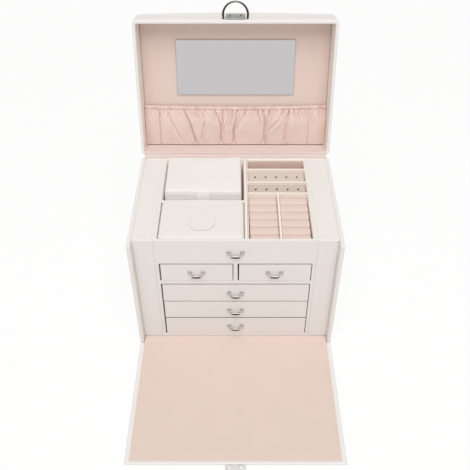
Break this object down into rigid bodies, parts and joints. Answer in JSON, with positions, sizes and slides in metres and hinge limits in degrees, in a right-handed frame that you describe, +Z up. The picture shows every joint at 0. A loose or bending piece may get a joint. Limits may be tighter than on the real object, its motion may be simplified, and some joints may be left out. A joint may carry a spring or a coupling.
{
  "type": "tiered jewelry box",
  "caption": "Tiered jewelry box with a mirrored lid, a divided tray with a travel case, drawers with ring-style bails and a fold-down front flap.",
  "frame": {"origin": "middle of the case's underside, on the surface that the box stands on", "axes": "+Z up, +Y towards the lid's hinges, +X to the right of someone facing the drawers"},
  "size_m": [0.2886, 0.4891, 0.4212],
  "materials": {
    "white_leather": "fine-grained off-white faux leather over board, satin",
    "pink_velvet": "short-pile blush velvet",
    "pink_cloth": "soft gathered blush cloth",
    "beige_velvet": "short-pile beige velvet over foam",
    "nickel": "polished nickel plate",
    "mirror_glass": "silvered glass with a ground edge"
  },
  "bodies": {
    "case": {"base_board": "white_leather", "left_side_wall": "white_leather", "right_side_wall": "white_leather", "rear_wall": "white_leather", "left_wing": "white_leather", "right_wing": "white_leather", "left_partition": "white_leather", "right_partition": "white_leather", "front_frame": "white_leather", "tray_floor": "pink_velvet", "small_drawer_shelf": "white_leather", "bottom_drawer_shelf": "white_leather", "middle_drawer_shelf": "white_leather", "upper_drawer_shelf": "white_leather", "small_drawer_divider": "white_leather", "tray_long_divider": "white_leather", "tray_cross_divider": "white_leather", "ring_tray_insert": "white_leather", "rear_earring_pad": "beige_velvet", "front_earring_pad": "beige_velvet", "left_ring_rolls": "pink_velvet", "right_ring_rolls": "pink_velvet", "fold_lining": "pink_velvet", "fascia_pull_posts": "nickel", "cover_ledge": "white_leather", "left_hinge_case_leaf": "nickel", "right_hinge_case_leaf": "nickel"},
    "lid": {"lid_shell": "white_leather", "lid_panel": "pink_velvet", "mirror": "mirror_glass", "lid_pocket": "pink_cloth", "left_hinge_lid_leaf": "nickel", "right_hinge_lid_leaf": "nickel", "latch_keeper": "nickel"},
    "pull_ring": {"pull_ring": "nickel"},
    "flap": {"flap_board": "white_leather", "flap_lining": "pink_velvet", "flap_catch": "nickel"},
    "left_small_drawer": {"left_small_drawer": "white_leather", "left_small_drawer_pull_posts": "nickel"},
    "right_small_drawer": {"right_small_drawer": "white_leather", "right_small_drawer_pull_posts": "nickel"},
    "upper_drawer": {"upper_drawer": "white_leather", "upper_drawer_pull_posts": "nickel"},
    "middle_drawer": {"middle_drawer": "white_leather", "middle_drawer_pull_posts": "nickel"},
    "bottom_drawer": {"bottom_drawer": "white_leather", "bottom_drawer_pull_posts": "nickel"},
    "fascia_bail": {"fascia_bail": "nickel"},
    "left_small_drawer_bail": {"left_small_drawer_bail": "nickel"},
    "right_small_drawer_bail": {"right_small_drawer_bail": "nickel"},
    "upper_drawer_bail": {"upper_drawer_bail": "nickel"},
    "middle_drawer_bail": {"middle_drawer_bail": "nickel"},
    "bottom_drawer_bail": {"bottom_drawer_bail": "nickel"},
    "cover": {"compartment_cover": "white_leather", "cover_pull_tab": "white_leather"},
    "travel_case": {"travel_case_base": "white_leather"},
    "travel_case_lid": {"travel_case_lid": "white_leather", "travel_case_strap": "white_leather"}
  },
  "joints": [
    {"name": "lid_hinge", "type": "hinge", "parent": "case", "child": "lid", "pos_m": [0, 0.1026, 0.2], "axis": [-1, 0, 0], "range_deg": [-102, 0]},
    {"name": "pull_ring_swing", "type": "hinge", "parent": "lid", "child": "pull_ring", "pos_m": [0, 0.14934, 0.39924], "axis": [-1, 0, 0], "range_deg": [-50, 80]},
    {"name": "flap_fold", "type": "hinge", "parent": "case", "child": "flap", "pos_m": [0, -0.1003, 0.004], "axis": [1, 0, 0], "range_deg": [-90, 0]},
    {"name": "left_small_drawer_slide", "type": "slide", "parent": "case", "child": "left_small_drawer", "axis": [0, -1, 0], "range_m": [0, 0.15]},
    {"name": "right_small_drawer_slide", "type": "slide", "parent": "case", "child": "right_small_drawer", "axis": [0, -1, 0], "range_m": [0, 0.15]},
    {"name": "upper_drawer_slide", "type": "slide", "parent": "case", "child": "upper_drawer", "axis": [0, -1, 0], "range_m": [0, 0.15]},
    {"name": "middle_drawer_slide", "type": "slide", "parent": "case", "child": "middle_drawer", "axis": [0, -1, 0], "range_m": [0, 0.15]},
    {"name": "bottom_drawer_slide", "type": "slide", "parent": "case", "child": "bottom_drawer", "axis": [0, -1, 0], "range_m": [0, 0.15]},
    {"name": "fascia_bail_swing", "type": "hinge", "parent": "case", "child": "fascia_bail", "pos_m": [0, -0.0914, 0.17835], "axis": [-1, 0, 0], "range_deg": [0, 85]},
    {"name": "left_small_drawer_bail_swing", "type": "hinge", "parent": "left_small_drawer", "child": "left_small_drawer_bail", "pos_m": [-0.05365, -0.0914, 0.14055], "axis": [-1, 0, 0], "range_deg": [0, 85]},
    {"name": "right_small_drawer_bail_swing", "type": "hinge", "parent": "right_small_drawer", "child": "right_small_drawer_bail", "pos_m": [0.05365, -0.0914, 0.14055], "axis": [-1, 0, 0], "range_deg": [0, 85]},
    {"name": "upper_drawer_bail_swing", "type": "hinge", "parent": "upper_drawer", "child": "upper_drawer_bail", "pos_m": [0, -0.0914, 0.09983], "axis": [-1, 0, 0], "range_deg": [0, 85]},
    {"name": "middle_drawer_bail_swing", "type": "hinge", "parent": "middle_drawer", "child": "middle_drawer_bail", "pos_m": [0, -0.0914, 0.0645], "axis": [-1, 0, 0], "range_deg": [0, 85]},
    {"name": "bottom_drawer_bail_swing", "type": "hinge", "parent": "bottom_drawer", "child": "bottom_drawer_bail", "pos_m": [0, -0.0914, 0.02917], "axis": [-1, 0, 0], "range_deg": [0, 85]},
    {"name": "cover_hinge", "type": "hinge", "parent": "case", "child": "cover", "pos_m": [-0.0459, -0.0087, 0.2], "axis": [-1, 0, 0], "range_deg": [0, 88]},
    {"name": "travel_case_lift", "type": "slide", "parent": "case", "child": "travel_case", "axis": [0, 0, 1], "range_m": [0, 0.06]},
    {"name": "travel_case_hinge", "type": "hinge", "parent": "travel_case", "child": "travel_case_lid", "pos_m": [-0.046, 0.0889, 0.2005], "axis": [-1, 0, 0], "range_deg": [0, 90]}
  ]
}
